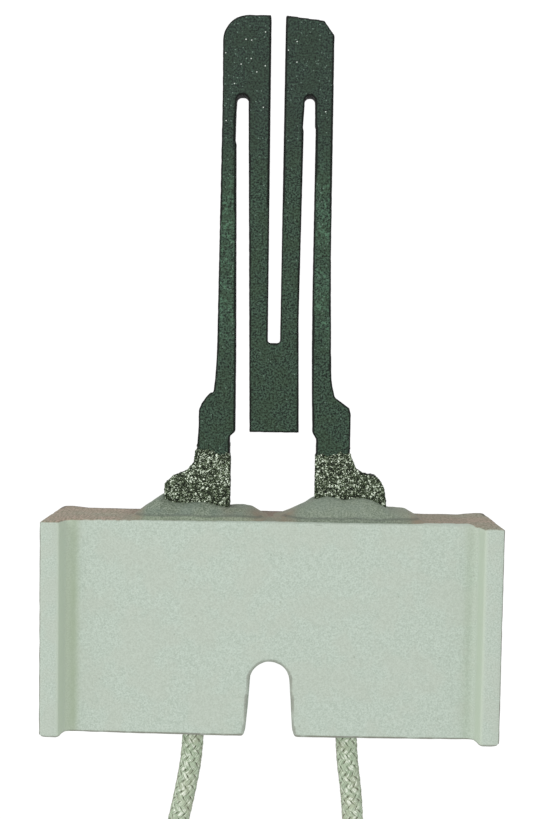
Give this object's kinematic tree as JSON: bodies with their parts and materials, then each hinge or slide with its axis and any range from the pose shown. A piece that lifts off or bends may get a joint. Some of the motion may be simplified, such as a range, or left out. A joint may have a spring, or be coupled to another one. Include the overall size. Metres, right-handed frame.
{
  "type": "hot surface igniter",
  "caption": "Flat slotted silicon carbide igniter potted in a ridged ceramic block with a screw notch, on braided leads with a pin plug.",
  "frame": {"origin": "axis of the mounting screw in the block's notch, at the plane of the back ridges", "axes": "+X across the block, +Y along the strip towards its tip, +Z from the back to the front, the way the igniter lies on its back; the screw axis is Z"},
  "size_m": [0.0476, 0.1642, 0.0111],
  "materials": {
    "steatite": "matte",
    "silicon_carbide": "matte",
    "cement": "matte",
    "sprayed_metal": "matte",
    "clip_steel": "satin",
    "glass_braid": "matte",
    "insulation": "satin",
    "nickel_copper": "satin",
    "nylon": "satin",
    "plated_brass": "satin",
    "tie_plastic": "satin"
  },
  "bodies": {
    "root": {"ceramic_block": "steatite", "heating_element": "silicon_carbide", "plug_housing": "nylon", "lead_tie": "tie_plastic", "metal_coat_left": "sprayed_metal", "contact_clip_left": "clip_steel", "cement_left": "cement", "lead_left": "glass_braid", "lead_insulation_left": "insulation", "lead_conductor_left": "nickel_copper", "terminal_pin_left": "plated_brass", "metal_coat_right": "sprayed_metal", "contact_clip_right": "clip_steel", "cement_right": "cement", "lead_right": "glass_braid", "lead_insulation_right": "insulation", "lead_conductor_right": "nickel_copper", "terminal_pin_right": "plated_brass"}
  },
  "joints": []
}
